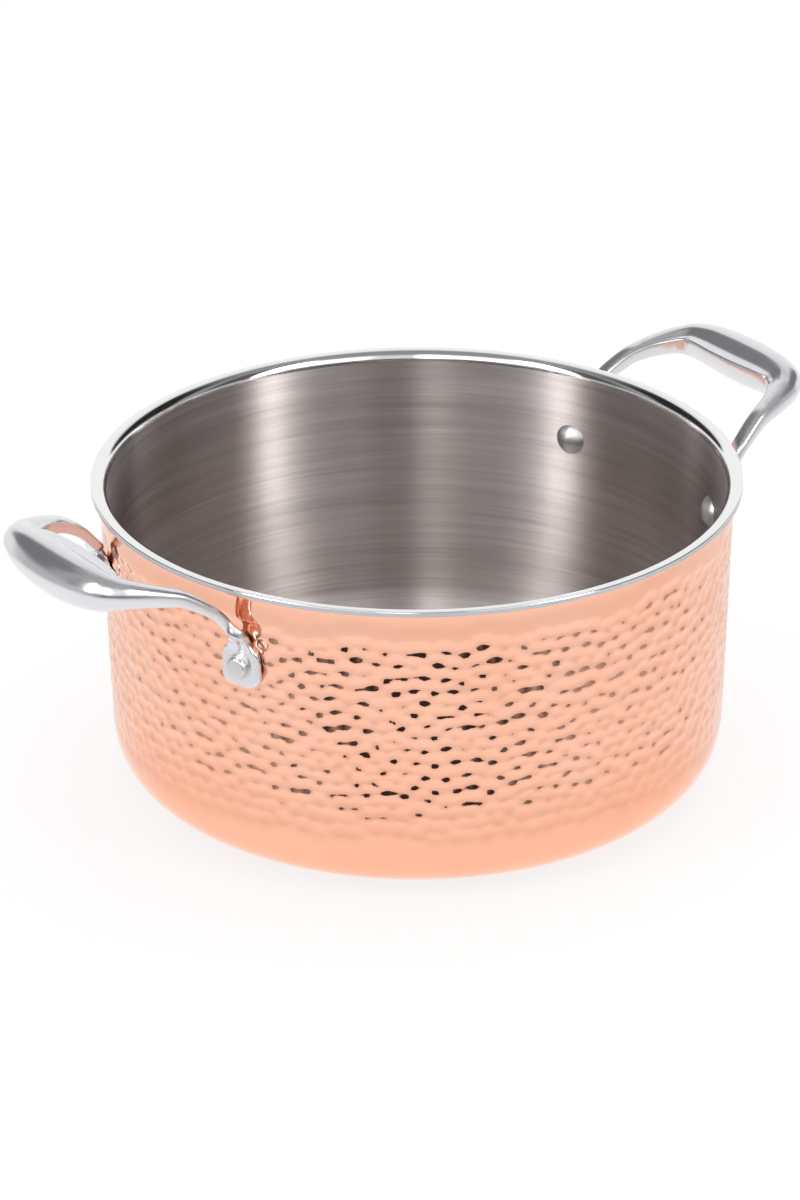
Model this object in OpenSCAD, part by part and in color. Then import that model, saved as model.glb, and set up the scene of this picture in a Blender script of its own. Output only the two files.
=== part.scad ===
// Braising pan: three bonded plies, two cast loop handles and four rivets.
// Origin at the centre of the base, +Z up, handles along X. Millimetres.

/* [Body] */
// Inside diameter just under the rim
inner_d = 240; // [200:1:280]
// Height of the rim above the table
rim_h = 123; // [100:1:150]
// How much the wall's radius shrinks from the rim down to the base
wall_taper = 3.2; // [0:0.2:6]
// Outer radius of the corner between the wall and the base
base_corner_r = 22; // [14:1:30]

/* [Plies] */
// Thickness of the stainless liner
liner_t = 0.5; // [0.3:0.1:0.9]
// Thickness of the aluminium core
core_t = 1.4; // [0.8:0.1:2.4]
// Thickness of the copper shell
copper_t = 0.5; // [0.3:0.1:1]

/* [Lip] */
// How far the lip stands out past the wall
lip_reach = 3.6; // [2.6:0.2:5]
// Bend radius on the underside of the lip
lip_bend_r = 1.4; // [1:0.1:2.4]
// Angle that the lip turns out from upright
lip_angle = 90; // [70:1:90]

/* [Handles] */
// Distance between the two rivets of one handle
rivet_spacing = 91; // [76:1:106]
// Depth of the rivets below the rim
rivet_drop = 31; // [28:0.5:40]
// Distance from the outside of the wall to the middle of the grip
grip_reach = 41; // [36:1:52]
// Height of the middle of the grip above the rim
grip_lift = 4.4; // [0:0.2:14]
// Width of the grip, from its inner to its outer edge
grip_w = 22.4; // [16:0.2:26]
// Height of the grip's section
grip_t = 19.4; // [12:0.2:22]
// Width of the leg between pad and grip
leg_w = 7; // [5:0.2:9]
// Thickness of the leg between pad and grip
leg_t = 5.2; // [4:0.2:7]
// Width of the riveted pad
pad_w = 16.4; // [14:0.2:20]
// Thickness of the riveted pad
pad_t = 3.6; // [3:0.2:5]
// Length of the pad below the rivet's centre
pad_drop = 8.2; // [7:0.2:12]
// Corner radius of the riveted pad
pad_corner_r = 4; // [3:0.2:6.4]

/* [Rivets] */
// Diameter of the rivet shank
shank_d = 5; // [3.6:0.2:6]
// Clearance on diameter between a shank and its holes
shank_clearance = 0.1; // [0.05:0.05:0.3]
// Diameter of the domed head inside the pan
inner_head_d = 12.8; // [9:0.2:14]
// Height of the domed head inside the pan
inner_head_h = 3.2; // [2:0.2:4]
// Diameter of the flange under the outer head
outer_flange_d = 10; // [9:0.2:12]
// Thickness of the flange under the outer head
outer_flange_t = 1; // [0.6:0.1:1.6]
// Diameter of the outer head's button
outer_button_d = 8.6; // [7:0.2:8.8]
// Height of the button's straight side above its flange
outer_button_h = 1.8; // [1:0.2:2.4]
// Height of the low dome on top of the button
outer_dome_h = 0.8; // [0.4:0.1:1.6]

/* [Hidden] */

// Body, worked out
wall_t = liner_t + core_t + copper_t;
wall_r = inner_d / 2 + wall_t;
foot_r = wall_r - wall_taper;
lip_straight = (lip_reach - lip_bend_r * (1 - cos(lip_angle))) / sin(lip_angle);
bend_z = rim_h - lip_bend_r * sin(lip_angle) - lip_straight * cos(lip_angle) - wall_t * sin(lip_angle);
wall_lean = atan(wall_taper / bend_z);
corner_r = foot_r + base_corner_r * (tan(wall_lean) - 1 / cos(wall_lean));
body_fn = 180;
corner_steps = 12;
bend_steps = 8;

// Outside radius of the wall at height z
function wall_at(z) = foot_r + wall_taper * z / bend_z;

// Rivet and pad places, worked out
rivet_z = rim_h - rivet_drop;
rivet_angle = asin(rivet_spacing / 2 / wall_r);
pad_gap = 0.05;
pad_low_z = rivet_z - pad_drop;
spot_face_r = wall_at(rivet_z) + pad_gap + pad_t * 0.86;
spot_face_d = outer_flange_d + shank_clearance * 4;
hole_d = shank_d + shank_clearance;
grip_r = wall_r + grip_reach;
grip_z = rim_h + grip_lift;
shank_fn = 48;
head_fn = 64;

// The pad above its rounded end: share of the way up from rivet to neck, shares of the pad's
// width and thickness, and how far it has left the wall as a share of its thickness
pad_shares = [
    [0.28, 0.93, 1, 0],
    [0.43, 0.68, 1.04, 0.06],
    [0.59, 0.5, 1.12, 0.28],
    [0.79, 0.425, 1.25, 0.8]
];

// From neck to mid grip: shares of the way outwards from pad to grip, of the pad's distance
// sideways, of the way up from rivet to grip, of the change from leg to grip in width and in
// thickness, and of the change from the leg's section to the grip's
neck_shares = [
    [0.13, 0.973, 0.505, -0.03, -0.05, 0],
    [0.26, 0.95, 0.7, -0.02, -0.03, 0],
    [0.46, 0.896, 0.88, 0.01, 0.06, 0.07],
    [0.6, 0.855, 0.94, 0.06, 0.14, 0.2],
    [0.71, 0.812, 0.975, 0.15, 0.225, 0.36],
    [0.81, 0.757, 0.998, 0.26, 0.33, 0.54],
    [0.888, 0.7, 1.012, 0.37, 0.44, 0.7],
    [0.963, 0.59, 1.016, 0.58, 0.66, 0.86],
    [0.991, 0.41, 1.012, 0.81, 0.86, 0.97],
    [0.999, 0.2, 1.003, 0.96, 0.97, 1],
    [1, 0, 1, 1, 1, 1]
];

// Section of the grip in shares of its half width and half height: inner edge, thumb hollow,
// ridge, crown, outer face, outer crease, underside
grip_section_shares = [
    [-1, 0.52], [-0.58, 0.61], [-0.1, 1], [0.37, 1], [0.74, 0.74], [0.98, 0.28],
    [0.955, -0.06], [0.7, -0.64], [0.22, -0.98], [-0.31, -0.72], [-0.77, -0.15]
];

// Section of the leg and the pad, a flat bar with softened edges, in the same order
leg_section_shares = [
    [-0.98, 0.55], [-0.8, 0.86], [-0.28, 1], [0.4, 1], [0.82, 0.84], [0.99, 0.4],
    [0.99, -0.4], [0.82, -0.84], [0.1, -1], [-0.8, -0.86], [-0.99, -0.5]
];
section_steps = 2;

function unit(v) = v / norm(v);
function last(list) = list[len(list) - 1];
function reversed(list) = [for (k = [len(list) - 1:-1:0]) list[k]];

function arc(centre, r, from, to, steps) =
    [for (k = [0:steps]) let (a = from + (to - from) * k / steps) centre + r * [cos(a), sin(a)]];

// Half profile of the surface at depth t under the copper's outer face, from the axis to the lip
function skin(t) =
    let (bend = arc([wall_r + lip_bend_r, bend_z], lip_bend_r + t,
                    180 - wall_lean, 180 - lip_angle, bend_steps))
    concat(
        [[0, t]],
        arc([corner_r, base_corner_r], base_corner_r - t, -90, -wall_lean, corner_steps),
        bend,
        [last(bend) + lip_straight * [sin(lip_angle), cos(lip_angle)]]
    );

// One ply, between two depths under the outer face
module ply(outer_depth, inner_depth) {
    rotate_extrude($fn = body_fn)
        polygon(concat(skin(outer_depth), reversed(skin(inner_depth))));
}

// Puts children on a rivet's axis, with their Z outwards from the axis of the pan
module on_rivet_axis(side, turn) {
    rotate(side + turn * rivet_angle)
        translate([0, 0, rivet_z])
            rotate([0, 90, 0])
                children();
}

module rivet_holes(sides) {
    for (side = sides, turn = [-1, 1])
        on_rivet_axis(side, turn)
            cylinder(d = hole_d, h = grip_r, $fn = shank_fn);
}

module steel_liner() {
    color("gainsboro")
        difference() {
            ply(copper_t + core_t, wall_t);
            rivet_holes([0, 180]);
        }
}

module aluminium_core() {
    color("darkgray")
        difference() {
            ply(copper_t, copper_t + core_t);
            rivet_holes([0, 180]);
        }
}

module copper_shell() {
    color("darksalmon")
        difference() {
            ply(0, copper_t);
            rivet_holes([0, 180]);
        }
}

// Smooth curve from b to c, with a and d as the points before and after them
function between(a, b, c, d, f) =
    (2 * b + (c - a) * f + (2 * a - 5 * b + 4 * c - d) * f * f + (3 * b - a - 3 * c + d) * f * f * f) / 2;

function closed_curve(p, steps) =
    let (n = len(p))
    [for (i = [0:n - 1], k = [0:steps - 1])
        between(p[(i + n - 1) % n], p[i], p[(i + 1) % n], p[(i + 2) % n], k / steps)];

// Stations of the handle: place, width, thickness, how much of the grip's section it has and
// how much it is bowed to the wall. Those of the pad stand off the wall by a distance at height z
function pad_station(off, z, w, t) =
    let (r = wall_at(z) + pad_gap + off)
    [r * cos(rivet_angle), r * sin(rivet_angle), z, w, t, 0, 1];

pad_end_stations = [for (a = [15, 40, 65, 90])
    pad_station(pad_t / 2, pad_low_z + pad_corner_r * (1 - cos(a)), pad_w - 2 * pad_corner_r * (1 - sin(a)), pad_t)];

neck_z = rivet_z + neck_shares[0][2] * (grip_z - rivet_z);
pad_stations = [for (s = pad_shares)
    pad_station(pad_t * (s[2] / 2 + s[3]), rivet_z + s[0] * (neck_z - rivet_z), s[1] * pad_w, s[2] * pad_t)];

pad_x = pad_end_stations[0][0];
pad_y = pad_end_stations[0][1];
neck_stations = [for (s = neck_shares) [
    pad_x + s[0] * (grip_r - pad_x),
    pad_y * s[1],
    rivet_z + s[2] * (grip_z - rivet_z),
    leg_w + s[3] * (grip_w - leg_w),
    leg_t + s[4] * (grip_t - leg_t),
    s[5],
    0
]];

function mirrored(s) = [s[0], -s[1], s[2], s[3], s[4], s[5], s[6]];
half_stations = concat(pad_end_stations, pad_stations, neck_stations);
stations = concat(
    half_stations,
    [for (k = [len(half_stations) - 2:-1:0]) mirrored(half_stations[k])]
);
leg_section = closed_curve(leg_section_shares, section_steps);
grip_section = closed_curve(grip_section_shares, section_steps);

function place(s) = [s[0], s[1], s[2]];

// Ring of points at station k. Its width lies level and square to the way the handle runs,
// and on the pad it is bowed to the wall's curve
function ring(k) =
    let (s = stations[k],
         along = unit(place(stations[min(k + 1, len(stations) - 1)]) - place(stations[max(k - 1, 0)])),
         outwards = unit([s[0], s[1], 0]),
         heading = [along[0], along[1], 0] + along[2] * outwards,
         upward = unit(cross(along, [-heading[1], heading[0], 0])),
         outer_side = cross(upward, along))
    [for (j = [0:len(leg_section) - 1])
        let (share = leg_section[j] * (1 - s[5]) + grip_section[j] * s[5],
             x = share[0] * s[3] / 2,
             y = share[1] * s[4] / 2)
        place(s) + outer_side * x + upward * y - outwards * s[6] * x * x / (2 * wall_r)];

module handle_casting() {
    rings = [for (k = [0:len(stations) - 1]) ring(k)];
    n = len(rings[0]);
    m = len(rings);
    polyhedron(
        points = [for (r = rings, p = r) p],
        faces = concat(
            [[for (j = [n - 1:-1:0]) j]],
            [for (i = [0:m - 2], j = [0:n - 1]) [i * n + j, i * n + (j + 1) % n, (i + 1) * n + (j + 1) % n]],
            [for (i = [0:m - 2], j = [0:n - 1]) [i * n + j, (i + 1) * n + (j + 1) % n, (i + 1) * n + j]],
            [[for (j = [0:n - 1]) (m - 1) * n + j]]
        )
    );
}

// Loop handle, with a flat seat in each pad for the rivet's outer head
module handle(side) {
    color("silver")
        difference() {
            rotate(side) handle_casting();
            rivet_holes([side]);
            for (turn = [-1, 1])
                on_rivet_axis(side, turn)
                    translate([0, 0, spot_face_r])
                        cylinder(d = spot_face_d, h = grip_reach, $fn = head_fn);
        }
}

// Domed cap on a base of diameter d, rising h along Z
module dome(d, h) {
    ball_r = (h * h + d * d / 4) / (2 * h);
    intersection() {
        translate([0, 0, h - ball_r])
            sphere(r = ball_r, $fn = head_fn);
        cylinder(d = d, h = h, $fn = head_fn);
    }
}

// Space inside the liner's wall near the rivets, with its seam away from them
module inside_wall() {
    low_z = rivet_z - inner_head_d;
    high_z = rivet_z + inner_head_d;
    ply_step = wall_t / cos(wall_lean);
    rotate(180)
        translate([0, 0, low_z])
            cylinder(r1 = wall_at(low_z) - ply_step, r2 = wall_at(high_z) - ply_step,
                h = high_z - low_z, $fn = body_fn);
}

// Rivet: inner dome pressed to the liner's curve, shank through plies and pad, flanged outer button
module rivet(side, turn) {
    liner_r = wall_at(rivet_z) - wall_t;
    color("lightgray")
        rotate(side + turn * rivet_angle) {
            intersection() {
                on_rivet_axis(0, 0)
                    translate([0, 0, liner_r]) {
                        mirror([0, 0, 1]) dome(inner_head_d, inner_head_h);
                        cylinder(d = inner_head_d, h = liner_t, $fn = head_fn);
                    }
                inside_wall();
            }
            on_rivet_axis(0, 0) {
                translate([0, 0, liner_r - inner_head_h / 2])
                    cylinder(d = shank_d, h = spot_face_r - liner_r + inner_head_h / 2, $fn = shank_fn);
                translate([0, 0, spot_face_r])
                    cylinder(d = outer_flange_d, h = outer_flange_t, $fn = head_fn);
                translate([0, 0, spot_face_r + outer_flange_t])
                    cylinder(d = outer_button_d, h = outer_button_h, $fn = head_fn);
                translate([0, 0, spot_face_r + outer_flange_t + outer_button_h])
                    dome(outer_button_d, outer_dome_h);
            }
        }
}

module handle_right() { handle(0); }
module handle_left() { handle(180); }
module rivet_right_rear() { rivet(0, 1); }
module rivet_right_front() { rivet(0, -1); }
module rivet_left_front() { rivet(180, 1); }
module rivet_left_rear() { rivet(180, -1); }

steel_liner();
aluminium_core();
copper_shell();
handle_right();
handle_left();
rivet_right_rear();
rivet_right_front();
rivet_left_front();
rivet_left_rear();
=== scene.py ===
# Braising pan: hammered copper outside, brushed steel inside, two cast loop handles, four rivets.
import math
import bpy
from mathutils import Matrix, Vector


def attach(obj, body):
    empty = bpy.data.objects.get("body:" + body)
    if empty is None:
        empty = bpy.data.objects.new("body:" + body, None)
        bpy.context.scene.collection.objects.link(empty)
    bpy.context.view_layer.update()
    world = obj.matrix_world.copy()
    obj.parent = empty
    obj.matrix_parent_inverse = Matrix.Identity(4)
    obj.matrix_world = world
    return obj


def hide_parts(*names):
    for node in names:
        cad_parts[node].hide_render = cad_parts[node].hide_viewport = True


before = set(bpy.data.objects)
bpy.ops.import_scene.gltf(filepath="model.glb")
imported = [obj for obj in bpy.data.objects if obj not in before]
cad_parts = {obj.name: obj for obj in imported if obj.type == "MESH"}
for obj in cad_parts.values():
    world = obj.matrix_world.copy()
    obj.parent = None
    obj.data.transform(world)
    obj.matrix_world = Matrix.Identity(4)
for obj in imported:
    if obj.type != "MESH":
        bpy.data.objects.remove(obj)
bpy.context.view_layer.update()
scene = bpy.context.scene
scene.view_settings.view_transform = "Standard"
mm = 0.001


# Shader and geometry maths as plain Python expressions

class Value:
    def __init__(self, graph, socket):
        self.graph = graph
        self.socket = socket

    def maths(self, operation, *others):
        sockets = {i: v for i, v in enumerate((self, *others))}
        return self.graph.node("ShaderNodeMath", {"operation": operation}, sockets).out("Value")

    def __add__(self, other):
        return self.maths("ADD", other)

    def __radd__(self, other):
        return self.maths("ADD", other)

    def __sub__(self, other):
        return self.maths("SUBTRACT", other)

    def __rsub__(self, other):
        return self.graph.constant(other).maths("SUBTRACT", self)

    def __mul__(self, other):
        return self.maths("MULTIPLY", other)

    def __rmul__(self, other):
        return self.maths("MULTIPLY", other)

    def __truediv__(self, other):
        return self.maths("DIVIDE", other)

    def __rtruediv__(self, other):
        return self.graph.constant(other).maths("DIVIDE", self)

    def __pow__(self, other):
        return self.maths("POWER", other)

    def __mod__(self, other):
        return self.maths("FLOORED_MODULO", other)

    def between(self, low, high):
        return self.maths("MAXIMUM", low).maths("MINIMUM", high)

    # 0 up to start, 1 from end on, and a soft rise from one to the other
    def ramp(self, start, end):
        rise = self.graph.node("ShaderNodeMapRange", {"interpolation_type": "SMOOTHSTEP"}, {
            "Value": self, "From Min": start, "From Max": end,
        })
        return rise.out("Result")


class Made:
    def __init__(self, graph, node):
        self.graph = graph
        self.node = node

    def out(self, name):
        return Value(self.graph, self.node.outputs[name])


class Graph:
    def __init__(self, tree):
        self.tree = tree

    def node(self, kind, settings=None, sockets=None):
        made = self.tree.nodes.new(kind)
        for name, value in (settings or {}).items():
            if name == "stops":
                self.setStops(made.color_ramp, value)
            else:
                setattr(made, name, value)
        for name, value in (sockets or {}).items():
            self.feed(made.inputs[name], value)
        return Made(self, made)

    def feed(self, socket, value):
        if isinstance(value, Value):
            self.tree.links.new(value.socket, socket)
        else:
            socket.default_value = value

    def constant(self, number):
        made = self.node("ShaderNodeValue")
        made.node.outputs[0].default_value = number
        return made.out("Value")

    def setStops(self, ramp, stops):
        while len(ramp.elements) < len(stops):
            ramp.elements.new(0.5)
        for element, (place, colour) in zip(ramp.elements, stops):
            element.position = place
            element.color = (*colour, 1)


def grey(level):
    return (level, level, level)


# Camera: where the photograph was taken from, with the handles 36.2 degrees off its picture plane

cameraView = {
    "pixelFocal": 4853.154,
    "frameHeight": 1200,
    "sensor": 36.0,
    "distance": 1900 * mm,
    "elevation": 25.505,
    "sideways": -6.733 * mm,
    "lift": 68.132 * mm,
    "roll": -0.29,
    "handleTurn": 36.2,
}


def makeCamera(view):
    tilt = math.radians(view["elevation"])
    roll = math.radians(view["roll"])
    forward = Vector((0, math.cos(tilt), -math.sin(tilt)))
    flatRight = Vector((1, 0, 0))
    flatUp = flatRight.cross(forward)
    right = math.cos(roll) * flatRight + math.sin(roll) * flatUp
    up = -math.sin(roll) * flatRight + math.cos(roll) * flatUp
    place = -forward * view["distance"] + Vector((view["sideways"], 0, view["lift"]))
    pose = Matrix((right, up, -forward)).transposed().to_4x4()
    pose.translation = place
    data = bpy.data.cameras.new("camera")
    data.sensor_fit = "AUTO"
    data.sensor_width = view["sensor"]
    data.lens = view["pixelFocal"] * view["sensor"] / view["frameHeight"]
    camera = bpy.data.objects.new("camera", data)
    camera.matrix_world = Matrix.Rotation(math.radians(-view["handleTurn"]), 4, "Z") @ pose
    scene.collection.objects.link(camera)
    scene.camera = camera
    print("camera made")


makeCamera(cameraView)


# The pan's drawing: the same sizes that its construction has

bodyForm = {
    "innerDiameter": 240 * mm,
    "rimHeight": 123 * mm,
    "wallTaper": 3.2 * mm,
    "cornerRadius": 22 * mm,
    "linerThickness": 0.5 * mm,
    "coreThickness": 1.4 * mm,
    "copperThickness": 0.5 * mm,
    "lipReach": 3.6 * mm,
    "lipBendRadius": 1.4 * mm,
    "lipAngle": 90,
}
wallThickness = bodyForm["linerThickness"] + bodyForm["coreThickness"] + bodyForm["copperThickness"]
wallRadius = bodyForm["innerDiameter"] / 2 + wallThickness
footRadius = wallRadius - bodyForm["wallTaper"]
lipAngle = math.radians(bodyForm["lipAngle"])
lipStraight = (
    bodyForm["lipReach"] - bodyForm["lipBendRadius"] * (1 - math.cos(lipAngle))
) / math.sin(lipAngle)
bendHeight = (
    bodyForm["rimHeight"]
    - (bodyForm["lipBendRadius"] + wallThickness) * math.sin(lipAngle)
    - lipStraight * math.cos(lipAngle)
)
wallLean = math.atan(bodyForm["wallTaper"] / bendHeight)
cornerCentre = footRadius + bodyForm["cornerRadius"] * (math.tan(wallLean) - 1 / math.cos(wallLean))


def wallAt(height):
    return footRadius + bodyForm["wallTaper"] * height / bendHeight


def arcPoints(centre, radius, start, end, steps):
    angles = [start + (end - start) * k / steps for k in range(steps + 1)]
    return [(centre[0] + radius * math.cos(a), centre[1] + radius * math.sin(a)) for a in angles]


def spread(low, high, steps):
    return [low + (high - low) * k / steps for k in range(1, steps)]


baseShares = (0, 0.35, 0.75)  # rings of points on the flat base


# Half profile of the surface at a depth under the copper's outer face, from the axis to the lip
def skin(depth, cornerSteps, wallHeights, bendSteps):
    corner = arcPoints(
        (cornerCentre, bodyForm["cornerRadius"]), bodyForm["cornerRadius"] - depth,
        -math.pi / 2, -wallLean, cornerSteps,
    )
    bend = arcPoints(
        (wallRadius + bodyForm["lipBendRadius"], bendHeight), bodyForm["lipBendRadius"] + depth,
        math.pi - wallLean, math.pi - lipAngle, bendSteps,
    )
    wall = [(wallAt(z) - depth / math.cos(wallLean), z) for z in wallHeights]
    tip = (bend[-1][0] + lipStraight * math.sin(lipAngle), bend[-1][1] + lipStraight * math.cos(lipAngle))
    base = [(corner[0][0] * share, depth) for share in baseShares]
    return base + corner + wall + bend + [tip]


# Rounds the corner between a surface's tip and the cut edge, which runs over to the other surface
def softTip(surface, other, radius, steps=5):
    tip = Vector(surface[-1])
    back = (Vector(surface[-2]) - tip).normalized() * radius
    over = (Vector(other[-1]) - tip).normalized() * radius
    angles = [math.pi / 2 * k / steps for k in range(steps + 1)]
    rounded = [tip + back * (1 - math.sin(a)) + over * (1 - math.cos(a)) for a in angles]
    return surface[:-1] + [tuple(p) for p in rounded]


# A closed polyline, from the axis out and back to it, that the turning tree reads
def makeProfile(name, points):
    data = bpy.data.meshes.new(name)
    data.from_pydata([(r, 0, z) for r, z in points], [(k, k + 1) for k in range(len(points) - 1)], [])
    return bpy.data.objects.new(name, data)


# The turning tree: it turns a profile round Z, and beats rows of hammer marks into it

turningInputs = [
    ("Profile", "NodeSocketObject", None),
    ("Columns", "NodeSocketInt", 64),
    ("Rows", "NodeSocketInt", 2),
    ("Finish", "NodeSocketMaterial", None),
    ("Marks Around", "NodeSocketInt", 3),
    ("Mark Rows", "NodeSocketInt", 3),
    ("Lowest Row", "NodeSocketFloat", 0.0),
    ("Row Pitch", "NodeSocketFloat", 1.0),
    ("Foot Radius", "NodeSocketFloat", 1.0),
    ("Wall Slope", "NodeSocketFloat", 0.0),
    ("Scatter", "NodeSocketFloat", 0.0),
    ("Wander", "NodeSocketFloat", 0.0),
    ("Wander Size", "NodeSocketFloat", 1.0),
    ("Mark Radius", "NodeSocketFloat", 0.001),
    ("Mark Depth", "NodeSocketFloat", 0.0),
    ("Depth Spread", "NodeSocketFloat", 0.0),
    ("Ridge Lift", "NodeSocketFloat", 0.0),
    ("Foot Strength", "NodeSocketFloat", 1.0),
    ("Mark Power", "NodeSocketFloat", 2.0),
    ("Ripple Depth", "NodeSocketFloat", 0.0),
    ("Ripple Size", "NodeSocketFloat", 1.0),
    ("Skin Rows", "NodeSocketInt", 0),
    ("Seed", "NodeSocketInt", 1),
]
beating = {
    "weld": 0.001 * mm,
    "footRows": 4,  # lowest rows, over which the blows grow to full strength
    "liftReach": 3,  # mark radii over which the raised ridges die out beside the outermost rows
    "rippleShare": 0.4,  # share of a blow's depth from which the ripple is full
}


def turningTree():
    tree = bpy.data.node_groups.new("turning", "GeometryNodeTree")
    for name, kind, start in turningInputs:
        socket = tree.interface.new_socket(name, in_out="INPUT", socket_type=kind)
        if start is not None:
            socket.default_value = start
    tree.interface.new_socket("Geometry", in_out="OUTPUT", socket_type="NodeSocketGeometry")
    g = Graph(tree)
    given = g.node("NodeGroupInput").out
    fullTurn = 2 * math.pi

    # a step that takes geometry and gives it on
    def step(kind, before, sockets, settings=None):
        return g.node(kind, settings, {"Geometry": before, **sockets}).out("Geometry")

    def grid(across, along):
        return g.node("GeometryNodeMeshGrid", sockets={"Vertices X": across, "Vertices Y": along}).out("Mesh")

    def sampled(geometry, index):
        return g.node(
            "GeometryNodeSampleIndex", {"data_type": "FLOAT_VECTOR", "domain": "POINT"},
            {"Geometry": geometry, "Value": place, "Index": index},
        ).out("Value")

    def roundZ(reach, angle, height):
        return g.node("ShaderNodeCombineXYZ", sockets={
            "X": reach * angle.maths("COSINE"), "Y": reach * angle.maths("SINE"), "Z": height,
        }).out("Vector")

    def chance(low, high, owner, draw):
        return g.node("FunctionNodeRandomValue", {"data_type": "FLOAT"}, {
            "Min": low, "Max": high, "ID": owner, "Seed": given("Seed") + draw,
        }).out("Value")

    def noise(where, size, detail):
        return g.node("ShaderNodeTexNoise", {"noise_dimensions": "3D"}, {
            "Vector": where, "Scale": 1 / size, "Detail": detail,
        }).out("Fac")

    # one column of points for each step round, one row for each point of the profile
    profile = g.node("GeometryNodeObjectInfo", sockets={"Object": given("Profile")}).out("Geometry")
    index = g.node("GeometryNodeInputIndex").out("Index")
    place = g.node("GeometryNodeInputPosition").out("Position")
    column = (index / given("Rows")).maths("FLOOR")
    row = index % given("Rows")
    drawn = g.node("ShaderNodeSeparateXYZ", sockets={"Vector": sampled(profile, row)}).out
    turned = roundZ(drawn("X"), column * fullTurn / given("Columns"), drawn("Z"))
    onSkin = row.maths("LESS_THAN", given("Skin Rows"))
    stored = step(
        "GeometryNodeStoreNamedAttribute", grid(given("Columns") + 1, given("Rows")),
        {"Name": "onSkin", "Value": onSkin}, {"data_type": "FLOAT", "domain": "POINT"},
    )
    placed = step("GeometryNodeSetPosition", stored, {"Position": turned})
    welded = step("GeometryNodeMergeByDistance", placed, {"Distance": beating["weld"]})

    # centres of the marks: staggered rows round the wall, which wander and are scattered a little
    markColumn = (index / given("Mark Rows")).maths("FLOOR")
    markRow = index % given("Mark Rows")
    aside = chance(given("Scatter") * -1, given("Scatter"), index, 0)
    above = chance(given("Scatter") * -1, given("Scatter"), index, 1)
    markAngle = (markColumn + (markRow % 2) / 2 + aside) * fullTurn / given("Marks Around")
    evenHeight = given("Lowest Row") + (markRow + above) * given("Row Pitch")
    drift = noise(roundZ(given("Foot Radius"), markAngle, evenHeight), given("Wander Size"), 0.0)
    markHeight = evenHeight + (drift - 0.5) * given("Wander")
    markReach = given("Foot Radius") + markHeight * given("Wall Slope")
    markSet = step(
        "GeometryNodeSetPosition", grid(given("Marks Around"), given("Mark Rows")),
        {"Position": roundZ(markReach, markAngle, markHeight)},
    )

    # each point sinks by how near it lies to the nearest mark, and the ridges between the marks rise
    nearest = g.node("GeometryNodeSampleNearest", {"domain": "POINT"}, {
        "Geometry": markSet, "Sample Position": place,
    }).out("Index")
    apart = g.node("ShaderNodeVectorMath", {"operation": "DISTANCE"}, {
        0: place, 1: sampled(markSet, nearest),
    }).out("Value")
    height = g.node("ShaderNodeSeparateXYZ", sockets={"Vector": place}).out("Z")
    firm = height.ramp(given("Lowest Row"), given("Lowest Row") + given("Row Pitch") * beating["footRows"])
    blow = chance(1 - given("Depth Spread"), 1 + given("Depth Spread"), nearest, 2)
    blow = blow * (given("Foot Strength") + firm * (1 - given("Foot Strength")))
    bowl = 1 - (apart / given("Mark Radius")).between(0, 1) ** given("Mark Power")
    ripple = noise(place, given("Ripple Size"), 1.0) * given("Ripple Depth")
    lifted = 1 - apart.ramp(given("Mark Radius"), given("Mark Radius") * beating["liftReach"])
    sunk = bowl * blow * given("Mark Depth") + bowl.between(0, beating["rippleShare"]) * ripple
    sunk = sunk - lifted * given("Ridge Lift")
    skinHere = g.node(
        "GeometryNodeInputNamedAttribute", {"data_type": "FLOAT"}, {"Name": "onSkin"},
    ).out("Attribute")
    normal = g.node("GeometryNodeInputNormal").out("Normal")
    offset = g.node("ShaderNodeVectorMath", {"operation": "SCALE"}, {
        0: normal, "Scale": sunk * skinHere * -1,
    }).out("Vector")
    beaten = step("GeometryNodeSetPosition", welded, {"Offset": offset})
    smooth = step("GeometryNodeSetShadeSmooth", beaten, {})
    real = step("GeometryNodeRealizeInstances", smooth, {})
    finished = step("GeometryNodeSetMaterial", real, {"Material": given("Finish")})
    g.node("NodeGroupOutput", sockets={"Geometry": finished})
    return tree


turning = turningTree()


# Runs the turning tree on a profile and keeps its result as a plain mesh
def turnPiece(name, points, columns, finish, marks=None, creaseAngle=35):
    profile = makeProfile(name + "Profile", points)
    piece = bpy.data.objects.new(name, bpy.data.meshes.new(name))
    scene.collection.objects.link(piece)
    modifier = piece.modifiers.new("turning", "NODES")
    modifier.node_group = turning
    values = {"Profile": profile, "Columns": columns, "Rows": len(points), "Finish": finish, **(marks or {})}
    for item in turning.interface.items_tree:
        if item.in_out == "INPUT" and item.name in values:
            modifier[item.identifier] = values[item.name]
    bpy.context.view_layer.update()
    evaluated = piece.evaluated_get(bpy.context.evaluated_depsgraph_get())
    plain = bpy.data.meshes.new_from_object(evaluated)
    piece.modifiers.remove(modifier)
    piece.data = plain
    plain.materials.clear()
    plain.materials.append(finish)
    faceOutwards(plain)
    plain.set_sharp_from_angle(angle=math.radians(creaseAngle))
    bpy.data.objects.remove(profile)
    print(name, "turned:", len(plain.polygons), "faces")
    return piece


# A closed mesh whose volume comes out negative has its faces turned
def faceOutwards(data):
    volume = 0.0
    for face in data.polygons:
        first = data.vertices[face.vertices[0]].co
        for k in range(1, len(face.vertices) - 1):
            second = data.vertices[face.vertices[k]].co
            third = data.vertices[face.vertices[k + 1]].co
            volume += first.dot(second.cross(third))
    if volume < 0:
        data.flip_normals()


# Finishes

def newFinish(name):
    material = bpy.data.materials.new(name)
    material.use_nodes = True
    material.node_tree.nodes.clear()
    return material, Graph(material.node_tree)


def finishOff(g, surface):
    g.node("ShaderNodeOutputMaterial", sockets={"Surface": surface})


def spots(g, place, size, detail):
    noise = g.node("ShaderNodeTexNoise", sockets={"Vector": place, "Scale": 1 / size, "Detail": detail})
    return noise.out("Fac")


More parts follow.
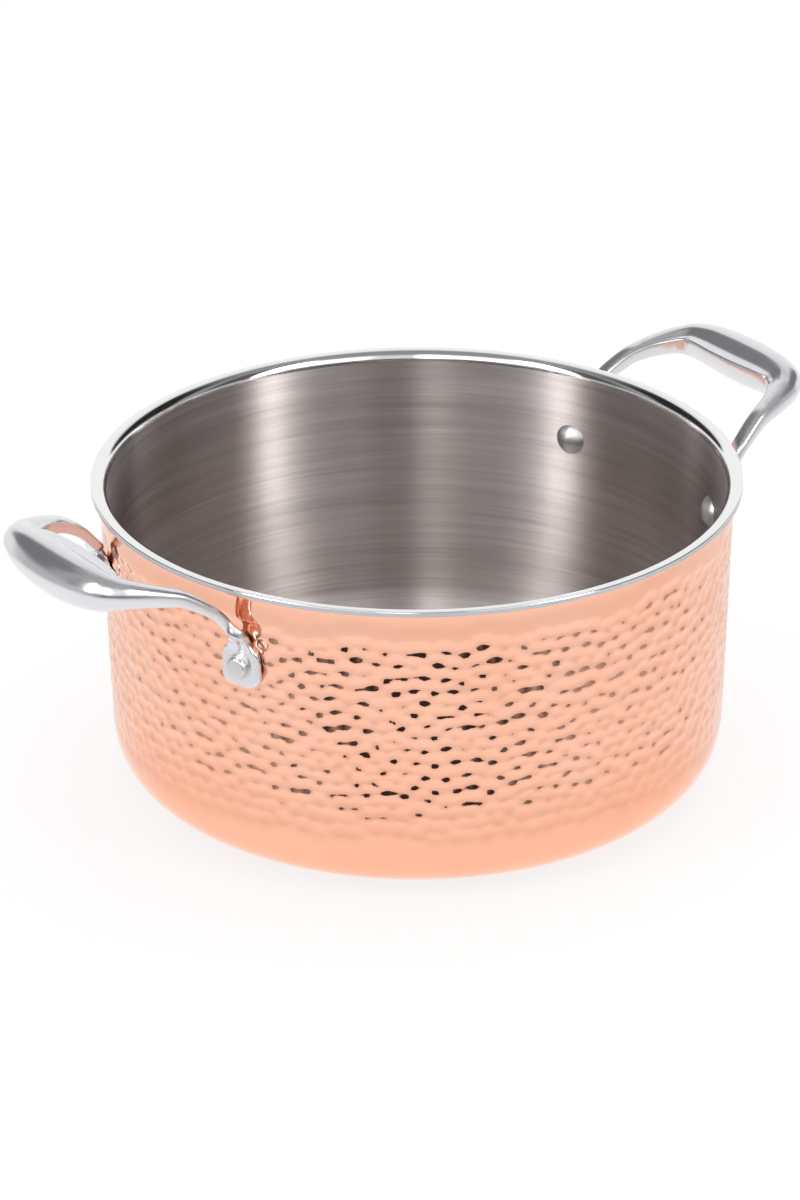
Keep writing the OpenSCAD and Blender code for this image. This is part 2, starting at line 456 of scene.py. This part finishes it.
def mixed(g, share, first, second):
    first, second = (c if isinstance(c, Value) else (*c, 1) for c in (first, second))
    sockets = {"Factor": share, "A": first, "B": second}
    return g.node("ShaderNodeMix", {"data_type": "RGBA"}, sockets).out("Result")


def bumped(g, height, distance):
    bump = g.node("ShaderNodeBump", sockets={"Height": height, "Distance": distance, "Strength": 1.0})
    return bump.out("Normal")


cloudDetail = 3.0
grainDetail = 2.0

copperFinish = {
    "colour": (0.98, 0.535, 0.385),
    # the deeper copper colour serves both random cloudy tone and the painted shade that darkens the foot
    "deepAndShadedColour": (0.96, 0.44, 0.28),
    "footShadeFade": (8 * mm, 60 * mm),  # heights between which the painted shade at the foot fades out; it stands in for the floor's shadow seen in the copper
    # share of painted shade at the foot, where the floor's shadow would show in the copper
    "footShade": 0.6,
    "cloudMiddle": 0.4,
    "cloudShare": 0.9,
    "cloudSize": 40 * mm,
    "roughness": 0.045,
    "roughnessSpread": 0.035,
    "grainSize": 0.6 * mm,
    "grainHeight": 0.004 * mm,
}


def copperMaterial(s):
    material, g = newFinish("polishedCopper")
    place = g.node("ShaderNodeTexCoord").out("Object")
    cloud = spots(g, place, s["cloudSize"], cloudDetail)
    grain = spots(g, place, s["grainSize"], grainDetail)
    height = g.node("ShaderNodeSeparateXYZ", sockets={"Vector": place}).out("Z")
    # painted shade: the copper is darkened towards the foot in place of the floor's reflected shadow; the
    # cloud adds random tone on top
    foot = (1 - height.ramp(*s["footShadeFade"])) * s["footShade"]
    cloudAndFootShade = foot + (cloud - s["cloudMiddle"]) * s["cloudShare"]
    shader = g.node("ShaderNodeBsdfPrincipled", sockets={
        "Base Color": mixed(g, cloudAndFootShade.between(0, 1), s["colour"], s["deepAndShadedColour"]),
        "Metallic": 1.0,
        "Normal": bumped(g, grain, s["grainHeight"]),
        "Roughness": s["roughness"] + cloud * s["roughnessSpread"],
    })
    finishOff(g, shader.out("BSDF"))
    return material


linerFinish = {
    "colour": (0.47, 0.43, 0.415),
    "paleColour": (0.67, 0.615, 0.595),
    "streakContrast": 3,
    "lipColour": (0.86, 0.86, 0.86),
    "streakLength": 70 * mm,
    "streakWidth": 0.3 * mm,
    "bandWidth": 3 * mm,
    "streakHeight": 0.0012 * mm,
    "roughness": 0.34,
    "roughnessSpread": 0.06,
    "lipRoughness": 0.1,
    "lipStart": 118.6 * mm,  # heights between which the brushing gives way to the lip's polish
    "lipFull": 119.8 * mm,
    "anisotropic": 1.0,
    "brushTurn": 0.25,  # a quarter turn lays the sheen across the streaks
}


# Brushed round the pan: the streaks run with the circumference on wall and floor alike
def linerMaterial(s):
    material, g = newFinish("brushedLiner")
    place = g.node("ShaderNodeTexCoord").out("Object")
    parts = g.node("ShaderNodeSeparateXYZ", sockets={"Vector": place}).out
    reach = (parts("X") * parts("X") + parts("Y") * parts("Y")).maths("SQRT")
    across = parts("Z") + reach

    def streaks(width, detail):
        stretched = g.node("ShaderNodeCombineXYZ", sockets={
            "X": parts("X") / s["streakLength"], "Y": parts("Y") / s["streakLength"], "Z": across / width,
        }).out("Vector")
        return spots(g, stretched, 1, detail)

    fine = streaks(s["streakWidth"], cloudDetail)
    broad = streaks(s["bandWidth"], grainDetail)
    pale = ((fine + broad - 1) * s["streakContrast"] / 2 + 0.5).between(0, 1)
    lip = ((parts("Z") - s["lipStart"]) / (s["lipFull"] - s["lipStart"])).between(0, 1)
    brushed = 1 - lip
    rough = s["roughness"] + (fine + broad - 1) * s["roughnessSpread"]
    shader = g.node("ShaderNodeBsdfPrincipled", sockets={
        "Base Color": mixed(g, lip, mixed(g, pale, s["colour"], s["paleColour"]), s["lipColour"]),
        "Metallic": 1.0,
        "Normal": bumped(g, fine * brushed, s["streakHeight"]),
        "Roughness": rough * brushed + lip * s["lipRoughness"],
        "Anisotropic": s["anisotropic"],
        "Anisotropic Rotation": s["brushTurn"],
    })
    finishOff(g, shader.out("BSDF"))
    return material


# A plain metal with a little cloudiness in its polish
def metalMaterial(name, s):
    material, g = newFinish(name)
    place = g.node("ShaderNodeTexCoord").out("Object")
    cloud = spots(g, place, s["cloudSize"], cloudDetail)
    grain = spots(g, place, s["grainSize"], grainDetail)
    shader = g.node("ShaderNodeBsdfPrincipled", sockets={
        "Base Color": mixed(g, cloud, s["colour"], s["paleColour"]),
        "Metallic": s["metallic"],
        "Normal": bumped(g, grain, s["grainHeight"]),
        "Roughness": s["roughness"] + cloud * s["roughnessSpread"],
    })
    finishOff(g, shader.out("BSDF"))
    return material


coreFinish = {
    "colour": (0.56, 0.56, 0.58),
    "paleColour": (0.66, 0.66, 0.68),
    "metallic": 0.8,
    "cloudSize": 6 * mm,
    "roughness": 0.5,
    "roughnessSpread": 0.1,
    "grainSize": 0.3 * mm,
    "grainHeight": 0.004 * mm,
}
handleFinish = {
    "colour": (0.69, 0.68, 0.71),
    "paleColour": (0.76, 0.75, 0.78),
    "metallic": 0.82,
    "cloudSize": 14 * mm,
    "roughness": 0.17,
    "roughnessSpread": 0.08,
    "grainSize": 0.5 * mm,
    "grainHeight": 0.002 * mm,
}
rivetFinish = {
    "colour": (0.62, 0.62, 0.62),
    "paleColour": (0.74, 0.74, 0.74),
    "metallic": 0.9,
    "cloudSize": 3 * mm,
    "roughness": 0.3,
    "roughnessSpread": 0.12,
    "grainSize": 0.25 * mm,
    "grainHeight": 0.006 * mm,
}
copper = copperMaterial(copperFinish)
brushedSteel = linerMaterial(linerFinish)
coreMetal = metalMaterial("coreMetal", coreFinish)
polishedSteel = metalMaterial("polishedCastSteel", handleFinish)
rivetSteel = metalMaterial("satinRivetSteel", rivetFinish)
print("finishes made")


# Copper shell, beaten between two smooth bands

hammering = {
    "columns": 480,
    "zoneLow": 25 * mm,  # heights between which the sheet is finely meshed for the marks
    "zoneHigh": 117 * mm,
    "zoneRows": 156,
    "marksAround": 105,
    "firstRow": 0.6,  # in row pitches above the zone's lower edge
    "rowPitch": 5.2 * mm,
    "markRows": 16,
    "scatter": 0.24,
    "wander": 9 * mm,
    "wanderSize": 26 * mm,
    "markRadius": 3.55 * mm,
    "markDepth": 0.71 * mm,
    "depthSpread": 0.18,
    "ridgeLift": 0.37 * mm,
    "markPower": 2.1,
    "footStrength": 0.4,
    "rippleDepth": 0.04 * mm,
    "rippleSize": 9 * mm,
    "seed": 7,
    "cornerSteps": 10,
    "bendSteps": 5,
    "innerCornerSteps": 4,
    "innerBendSteps": 3,
    "edgeRound": 0.3 * mm,
    "edgeSteps": 3,
    "creaseAngle": 60,
}


# A size's name as the tree has it: markRadius is Mark Radius there
def inputName(name):
    return "".join(" " + letter if letter.isupper() else letter for letter in name).title()


def makeCopperShell(s):
    rows = s["zoneRows"]
    heights = [s["zoneLow"] + (s["zoneHigh"] - s["zoneLow"]) * k / rows for k in range(rows + 1)]
    inner = skin(bodyForm["copperThickness"], s["innerCornerSteps"], [], s["innerBendSteps"])
    outer = softTip(skin(0, s["cornerSteps"], heights, s["bendSteps"]), inner, s["edgeRound"], s["edgeSteps"])
    marks = {inputName(name): value for name, value in s.items()}
    marks["Lowest Row"] = s["zoneLow"] + s["rowPitch"] * s["firstRow"]
    marks["Foot Radius"] = footRadius
    marks["Wall Slope"] = bodyForm["wallTaper"] / bendHeight
    marks["Skin Rows"] = len(outer)
    shell = turnPiece("hammeredShell", outer + inner[::-1], s["columns"], copper, marks, s["creaseAngle"])
    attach(shell, "root")
    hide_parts("copper_shell")


makeCopperShell(hammering)


# Plies under the copper: the core shows as a line at the lip, the liner is the whole inside

plyForm = {
    "columns": 360,
    "cornerSteps": 24,
    "bendSteps": 16,
    "wallSteps": 6,
    "coreEdge": 0.06 * mm,
    "linerEdge": 0.42 * mm,
}


def makePly(name, node, finish, outerDepth, innerDepth, edgeRound, s):
    heights = spread(bodyForm["cornerRadius"], bendHeight, s["wallSteps"])
    outer = skin(outerDepth, s["cornerSteps"], heights, s["bendSteps"])
    inner = softTip(skin(innerDepth, s["cornerSteps"], heights, s["bendSteps"]), outer, edgeRound)
    ply = turnPiece(name, outer + inner[::-1], s["columns"], finish)
    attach(ply, "root")
    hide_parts(node)


coreDepth = bodyForm["copperThickness"]
linerDepth = coreDepth + bodyForm["coreThickness"]
makePly(
    "bondedCore", "aluminium_core", coreMetal,
    coreDepth, linerDepth, plyForm["coreEdge"], plyForm,
)
makePly(
    "brushedLiner", "steel_liner", brushedSteel,
    linerDepth, wallThickness, plyForm["linerEdge"], plyForm,
)


# Handles: one closed casting each, swept through stations from pad to pad

handleForm = {
    "rivetSpacing": 91 * mm,
    "rivetDrop": 31 * mm,
    "gripReach": 41 * mm,
    "gripLift": 4.4 * mm,
    "gripWidth": 22.4 * mm,
    "gripThickness": 19.4 * mm,
    "legWidth": 7 * mm,
    "legThickness": 5.2 * mm,
    "padWidth": 16.4 * mm,
    "padThickness": 3.6 * mm,
    "padDrop": 8.2 * mm,
    "padCornerRadius": 4 * mm,
    "padGap": 0.05 * mm,
    "alongSteps": 7,
    "roundSteps": 6,
    "creaseAngle": 50,
    # degrees round the pad's lower corners
    "padEnd": (15, 40, 65, 90),
    # share of the way up from rivet to neck, width, thickness, how far off the wall
    "padShares": [
        (0.28, 0.93, 1, 0), (0.43, 0.68, 1.04, 0.06), (0.59, 0.5, 1.12, 0.28), (0.79, 0.425, 1.25, 0.8),
    ],
    # out, side, rise, width, thickness, form of the section
    "neckShares": [
        (0.13, 0.973, 0.505, -0.03, -0.05, 0),
        (0.26, 0.95, 0.7, -0.02, -0.03, 0),
        (0.46, 0.896, 0.88, 0.01, 0.06, 0.07),
        (0.6, 0.855, 0.94, 0.06, 0.14, 0.2),
        (0.71, 0.812, 0.975, 0.15, 0.225, 0.36),
        (0.81, 0.757, 0.998, 0.26, 0.33, 0.54),
        (0.888, 0.7, 1.012, 0.37, 0.44, 0.7),
        (0.963, 0.59, 1.016, 0.58, 0.66, 0.86),
        (0.991, 0.41, 1.012, 0.81, 0.86, 0.97),
        (0.999, 0.2, 1.003, 0.96, 0.97, 1),
        (1, 0, 1, 1, 1, 1),
    ],
    # inner edge, thumb hollow, ridge, crown, outer face, outer crease, underside
    "gripSection": [
        (-1, 0.52), (-0.58, 0.61), (-0.1, 1), (0.37, 1), (0.74, 0.74), (0.98, 0.28),
        (0.955, -0.06), (0.7, -0.64), (0.22, -0.98), (-0.31, -0.72), (-0.77, -0.15),
    ],
    "legSection": [
        (-0.98, 0.55), (-0.8, 0.86), (-0.28, 1), (0.4, 1), (0.82, 0.84), (0.99, 0.4),
        (0.99, -0.4), (0.82, -0.84), (0.1, -1), (-0.8, -0.86), (-0.99, -0.5),
    ],
}
rivetHeight = bodyForm["rimHeight"] - handleForm["rivetDrop"]
rivetAngle = math.asin(handleForm["rivetSpacing"] / 2 / wallRadius)


# Smooth curve from b to c, with a and d as the values before and after them
def between(a, b, c, d, f):
    return [
        (2 * q + (r - p) * f + (2 * p - 5 * q + 4 * r - t) * f * f + (3 * q - p - 3 * r + t) * f ** 3) / 2
        for p, q, r, t in zip(a, b, c, d)
    ]


def closedCurve(points, steps):
    n = len(points)
    return [
        between(points[i - 1], points[i], points[(i + 1) % n], points[(i + 2) % n], k / steps)
        for i in range(n) for k in range(steps)
    ]


def openCurve(points, steps):
    last = len(points) - 1
    made = [
        between(points[max(i - 1, 0)], points[i], points[i + 1], points[min(i + 2, last)], k / steps)
        for i in range(last) for k in range(steps)
    ]
    return made + [list(points[last])]


# Station: place, width, thickness, share of the grip's section, share of the wall's bow
def handleStations(s):
    gripRadius = wallRadius + s["gripReach"]
    gripHeight = bodyForm["rimHeight"] + s["gripLift"]
    cornerRadius = s["padCornerRadius"]
    padLow = rivetHeight - s["padDrop"]
    neckHeight = rivetHeight + s["neckShares"][0][2] * (gripHeight - rivetHeight)

    def padStation(off, z, width, thickness):
        reach = wallAt(z) + s["padGap"] + off
        return (reach * math.cos(rivetAngle), reach * math.sin(rivetAngle), z, width, thickness, 0, 1)

    end = [
        padStation(
            s["padThickness"] / 2, padLow + cornerRadius * (1 - math.cos(a)),
            s["padWidth"] - 2 * cornerRadius * (1 - math.sin(a)), s["padThickness"],
        )
        for a in map(math.radians, s["padEnd"])
    ]
    pad = [
        padStation(
            s["padThickness"] * (thick / 2 + off), rivetHeight + up * (neckHeight - rivetHeight),
            wide * s["padWidth"], thick * s["padThickness"],
        )
        for up, wide, thick, off in s["padShares"]
    ]
    padX, padY = end[0][0], end[0][1]
    neck = [
        (
            padX + out * (gripRadius - padX), padY * side, rivetHeight + rise * (gripHeight - rivetHeight),
            s["legWidth"] + wide * (s["gripWidth"] - s["legWidth"]),
            s["legThickness"] + thick * (s["gripThickness"] - s["legThickness"]),
            form, 0,
        )
        for out, side, rise, wide, thick, form in s["neckShares"]
    ]
    half = end + pad + neck
    return half + [(x, -y, *rest) for x, y, *rest in half[-2::-1]]


def handleRings(s):
    stations = openCurve(handleStations(s), s["alongSteps"])
    grip = closedCurve(s["gripSection"], s["roundSteps"])
    leg = closedCurve(s["legSection"], s["roundSteps"])
    places = [Vector(st[:3]) for st in stations]
    rings = []
    for k, (x, y, z, width, thickness, form, bow) in enumerate(stations):
        along = (places[min(k + 1, len(places) - 1)] - places[max(k - 1, 0)]).normalized()
        outwards = Vector((x, y, 0)).normalized()
        heading = Vector((along.x, along.y, 0)) + along.z * outwards
        upward = along.cross(Vector((-heading.y, heading.x, 0))).normalized()
        outerSide = upward.cross(along)
        ring = []
        for (gx, gy), (lx, ly) in zip(grip, leg):
            sx = (lx + (gx - lx) * form) * width / 2
            sy = (ly + (gy - ly) * form) * thickness / 2
            sag = bow * sx * sx / (2 * wallRadius)
            ring.append(places[k] + outerSide * sx + upward * sy - outwards * sag)
        rings.append(ring)
    return rings


def sweptMesh(name, rings):
    n = len(rings[0])
    points = [p for ring in rings for p in ring]
    faces = [
        (i * n + j, i * n + (j + 1) % n, (i + 1) * n + (j + 1) % n, (i + 1) * n + j)
        for i in range(len(rings) - 1) for j in range(n)
    ]
    faces.append(tuple(range(n - 1, -1, -1)))
    faces.append(tuple((len(rings) - 1) * n + j for j in range(n)))
    data = bpy.data.meshes.new(name)
    data.from_pydata(points, [], faces)
    data.shade_smooth()
    faceOutwards(data)
    data.set_sharp_from_angle(angle=math.radians(handleForm["creaseAngle"]))
    return data


def makeHandle(name, node, side):
    data = sweptMesh(name, handleRings(handleForm))
    data.transform(Matrix.Rotation(side, 4, "Z"))
    data.materials.append(polishedSteel)
    piece = bpy.data.objects.new(name, data)
    scene.collection.objects.link(piece)
    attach(piece, "root")
    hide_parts(node)
    print(name, "swept:", len(data.polygons), "faces")


makeHandle("loopHandleRight", "handle_right", 0)
makeHandle("loopHandleLeft", "handle_left", math.pi)


# Rivets: inner dome, shank, and an outer button on a flange

rivetForm = {
    "shankDiameter": 5 * mm,
    "innerHeadDiameter": 12.8 * mm,
    "innerHeadHeight": 3.2 * mm,
    "flangeDiameter": 10 * mm,
    "flangeThickness": 1 * mm,
    "buttonDiameter": 8.6 * mm,
    "buttonHeight": 1.8 * mm,
    "domeHeight": 0.8 * mm,
    "buttonEdge": 1.3 * mm,
    "edgeTurn": 66,  # degrees that the button's edge is rounded through
    "edgeSink": 0.4,
    "edgeSteps": 5,
    "flangeEdge": 0.25 * mm,
    "seatShare": 0.86,  # how deep the flange sits in the pad, as a share of its thickness
    "headSink": 0.2 * mm,
    "columns": 72,
    "domeSteps": 12,
}


def domePoints(diameter, height, steps, rise, inwards):
    ball = (height * height + diameter * diameter / 4) / (2 * height)
    widest = math.asin(min(diameter / 2 / ball, 1))
    points = []
    for k in range(steps + 1):
        a = widest * (1 - k / steps)
        points.append((ball * math.sin(a), rise + inwards * (height - ball + ball * math.cos(a))))
    return points


def rivetProfile(s):
    linerReach = wallAt(rivetHeight) - wallThickness
    seat = wallAt(rivetHeight) + handleForm["padGap"] + handleForm["padThickness"] * s["seatShare"]
    flangeTop = seat + s["flangeThickness"]
    innerHead = domePoints(s["innerHeadDiameter"], s["innerHeadHeight"], s["domeSteps"], linerReach, -1)[::-1]
    shank = [(s["shankDiameter"] / 2, linerReach + s["headSink"]), (s["shankDiameter"] / 2, seat)]
    rim = s["flangeDiameter"] / 2
    soft = s["flangeEdge"]
    flange = [(rim - soft, seat), (rim, seat + soft), (rim, flangeTop - soft), (rim - soft, flangeTop)]
    # the button's side, its rounded edge and the low dome on top
    edge = s["buttonEdge"]
    reach = s["buttonDiameter"] / 2
    shoulder = flangeTop + s["buttonHeight"]
    edgeCentre = (reach - edge, shoulder - edge * s["edgeSink"])
    side = [(reach, flangeTop)] + arcPoints(edgeCentre, edge, 0, math.radians(s["edgeTurn"]), s["edgeSteps"])
    topReach, topFoot = side[-1]
    top = domePoints(2 * topReach, shoulder + s["domeHeight"] - topFoot, s["domeSteps"], topFoot, 1)
    return innerHead + shank + flange + side + top[1:]


def makeRivet(name, node, angle):
    piece = turnPiece(name, rivetProfile(rivetForm), rivetForm["columns"], rivetSteel)
    laidFlat = Matrix.Rotation(math.pi / 2, 4, "Y")
    lifted = Matrix.Translation((0, 0, rivetHeight))
    piece.data.transform(Matrix.Rotation(angle, 4, "Z") @ lifted @ laidFlat)
    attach(piece, "root")
    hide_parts(node)


rivetPlaces = {
    "rivet_right_rear": rivetAngle,
    "rivet_right_front": -rivetAngle,
    "rivet_left_front": math.pi + rivetAngle,
    "rivet_left_rear": math.pi - rivetAngle,
}
for node, angle in rivetPlaces.items():
    makeRivet(node.replace("rivet_", "headedRivet_"), node, angle)


# Studio: white floor, soft sky, two strip lights and a dark band in front for the metal to show its form

studio = {
    "floorSize": 8.0,
    "floorDrop": 0.2 * mm,
    "floorColour": grey(0.9),
    "floorGlow": 0.8,
    "skyLight": 0.85,
    # what polished metal sees all round, by degrees to the right of the photograph's side: white behind,
    # a strip light on each side and dim between
    "stripes": [
        (-180, 0.9), (-160, 0.9), (-148, 0.02), (-104, 0.02), (-98, 0.3), (-90, 0.3), (-80, 0.1), (-64, 0.1),
        (-60, 12), (-54, 12), (-50, 1.7), (-16, 1.6), (-11, 2.8), (-3, 2.8), (1, 0.8), (16, 0.8), (22, 1.6),
        (50, 1.7), (54, 12), (60, 12), (64, 0.1), (80, 0.1), (90, 0.3), (98, 0.3), (104, 0.02),
        (148, 0.02), (160, 0.9), (180, 0.9),
    ],
    "brightest": 12,
    "stripeFoot": (8, 16),  # degrees up over which the stripes begin
    "stripeTop": (44, 64),  # and end, in an even light overhead
    "overhead": 0.3,
    "backStart": (112, 128),  # degrees aside from which the horizon is white
    "liftStart": (142, 160),  # and from which that white reaches higher
    "backLift": 18,
    # below the horizon: white ground that greys outwards, and a dark band in front that pales to the sides
    "groundBright": 1.06,
    "groundGrey": 0.84,
    "groundSlope": (-44, -10),
    "bandFoot": (-15.5, -12),
    "bandDark": 0.03,
    "bandPale": 0.5,
    "bandFade": (12, 72),
    # name, degrees to the right of the photograph's side, degrees up, distance, size, power
    "lamps": [
        ("topLight", 160, 75, 1.4, (1.2, 1.2), 7),
        ("leftLight", -56, 38, 1.5, (0.3, 1.0), 3),
        ("rightLight", 56, 38, 1.5, (0.3, 1.0), 3),
    ],
}


def towards(azimuth, elevation=0):
    a = math.radians(azimuth - cameraView["handleTurn"])
    e = math.radians(elevation)
    return Vector((math.sin(a) * math.cos(e), -math.cos(a) * math.cos(e), math.sin(e)))


def makeStage(name, points, faces, material):
    data = bpy.data.meshes.new(name)
    data.from_pydata(points, [], faces)
    data.materials.append(material)
    piece = bpy.data.objects.new(name, data)
    scene.collection.objects.link(piece)
    return piece


# White to the eye, and matt in the share that takes the shadow; metal sees the sky's lower half instead
def makeFloor(s):
    material, g = newFinish("floorPaint")
    path = g.node("ShaderNodeLightPath").out
    seen = path("Is Camera Ray")
    for other in ("Is Glossy Ray", "Is Transmission Ray"):
        seen = seen.maths("MAXIMUM", path(other))
    matt = g.node("ShaderNodeBsdfDiffuse", sockets={"Color": (*s["floorColour"], 1)}).out("BSDF")
    glow = g.node("ShaderNodeEmission", sockets={"Color": (*grey(1), 1), "Strength": 1.0}).out("Emission")
    mix = g.node("ShaderNodeMixShader", sockets={0: seen * s["floorGlow"], 1: matt, 2: glow})
    finishOff(g, mix.out("Shader"))
    half = s["floorSize"] / 2
    low = -s["floorDrop"]
    corners = [(-half, -half, low), (half, -half, low), (half, half, low), (-half, half, low)]
    floor = makeStage("floor", corners, [(0, 1, 2, 3)], material)
    floor.visible_glossy = False


# Azimuth from the photograph's side of the pan, 0 to 180 degrees either way
def azimuthOf(g, parts):
    turn = math.radians(cameraView["handleTurn"])
    front = parts("X") * -math.sin(turn) - parts("Y") * math.cos(turn)
    side = parts("X") * math.cos(turn) - parts("Y") * math.sin(turn)
    return side.maths("ARCTAN2", front) * (180 / math.pi)


def makeWorld(s):
    world = bpy.data.worlds.new("studioWorld")
    scene.world = world
    world.use_nodes = True
    world.node_tree.nodes.clear()
    g = Graph(world.node_tree)
    path = g.node("ShaderNodeLightPath").out
    direction = g.node("ShaderNodeTexCoord").out("Generated")
    parts = g.node("ShaderNodeSeparateXYZ", sockets={"Vector": direction}).out
    elevation = parts("Z").maths("ARCSINE") * (180 / math.pi)
    azimuth = azimuthOf(g, parts)
    stripes = g.node("ShaderNodeValToRGB", {
        "stops": [((degrees + 180) / 360, grey(level / s["brightest"])) for degrees, level in s["stripes"]],
    }, {"Fac": (azimuth + 180) / 360}).out("Color") * s["brightest"]
    aside = azimuth.maths("ABSOLUTE")
    back = aside.ramp(*s["backStart"])
    band = s["bandDark"] + aside.ramp(*s["bandFade"]) * (s["bandPale"] - s["bandDark"])
    band = band + back * (1 - band)
    ground = s["groundBright"] - elevation.ramp(*s["groundSlope"]) * (s["groundBright"] - s["groundGrey"])
    low = ground + (band - ground) * elevation.ramp(*s["bandFoot"])
    lift = aside.ramp(*s["liftStart"]) * s["backLift"]
    sky = low + (stripes - low) * (elevation - lift).ramp(*s["stripeFoot"])
    sky = sky + (s["overhead"] - sky) * elevation.ramp(*s["stripeTop"])
    seen = path("Is Camera Ray")
    shine = path("Is Glossy Ray")
    level = seen + (1 - seen) * (shine * sky + (1 - shine) * s["skyLight"])
    background = g.node("ShaderNodeBackground", sockets={"Color": (*grey(1), 1), "Strength": level})
    g.node("ShaderNodeOutputWorld", sockets={"Surface": background.out("Background")})


def makeLamp(name, azimuth, elevation, distance, size, power):
    place = towards(azimuth, elevation) * distance
    data = bpy.data.lights.new(name, "AREA")
    data.shape = "RECTANGLE"
    data.size, data.size_y = size
    data.energy = power
    lamp = bpy.data.objects.new(name, data)
    aim = Vector((0, 0, bodyForm["rimHeight"] / 2)) - place
    lamp.matrix_world = Matrix.Translation(place) @ aim.to_track_quat("-Z", "Y").to_matrix().to_4x4()
    lamp.visible_glossy = False
    scene.collection.objects.link(lamp)


makeFloor(studio)
makeWorld(studio)
for lamp in studio["lamps"]:
    makeLamp(*lamp)
print("studio made")
